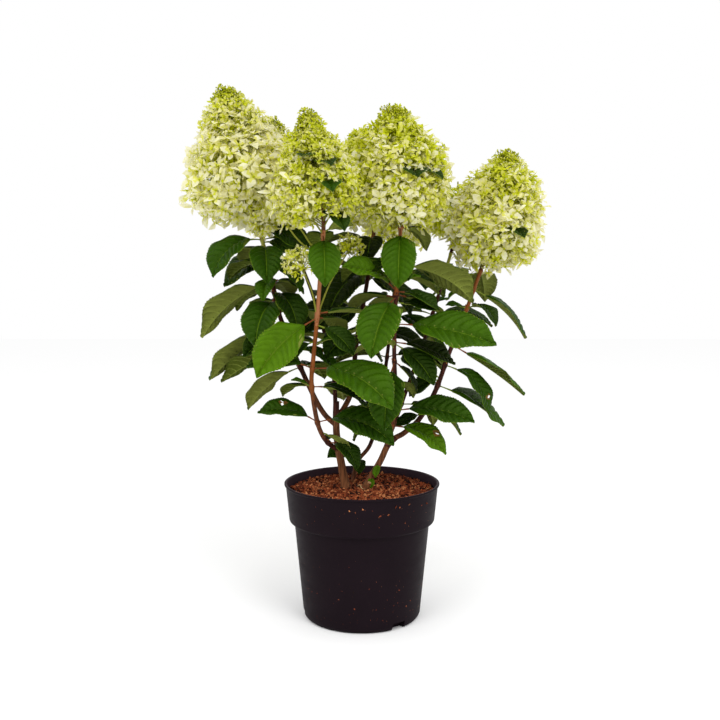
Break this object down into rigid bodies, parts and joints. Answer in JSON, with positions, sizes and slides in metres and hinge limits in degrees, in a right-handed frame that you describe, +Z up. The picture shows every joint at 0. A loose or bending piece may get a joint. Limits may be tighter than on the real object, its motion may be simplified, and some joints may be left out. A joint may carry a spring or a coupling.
{
  "type": "potted panicle hydrangea",
  "caption": "Flowering shrub in a round black nursery pot: woody stems, drooping toothed leaves in pairs and tall cone-shaped heads of cream and lime blossom.",
  "frame": {"origin": "middle of the pot's flat underside, which stands on the ground", "axes": "+Z up, -Y the side that shows most bloom, +X to the right of a viewer who stands on that side"},
  "size_m": [0.5306, 0.4257, 0.7732],
  "materials": {
    "pot": "matte black, lightly dusty",
    "potting_mix": "loose granular bark and coir",
    "bark": "grey-brown streaked bark",
    "leaf": "satin leaf surface",
    "flower": "matte petals"
  },
  "bodies": {
    "root": {"pot": "pot", "potting_mix": "potting_mix", "trunk_left": "bark", "trunk_right": "bark", "bough_left_outer": "bark", "foliage_left_outer": "leaf", "head_left_outer": "flower", "bough_left_inner": "bark", "foliage_left_inner": "leaf", "head_left_inner": "flower", "bough_right_inner": "bark", "foliage_right_inner": "leaf", "head_right_inner": "flower", "bough_right_outer": "bark", "foliage_right_outer": "leaf", "head_right_outer": "flower", "bough_centre": "bark", "foliage_centre": "leaf", "head_centre": "flower", "bough_rear_left": "bark", "foliage_rear_left": "leaf", "head_rear_left": "flower", "bough_rear_middle": "bark", "foliage_rear_middle": "leaf", "head_rear_middle": "flower", "bough_rear_right": "bark", "foliage_rear_right": "leaf", "head_rear_right": "flower"}
  },
  "joints": []
}
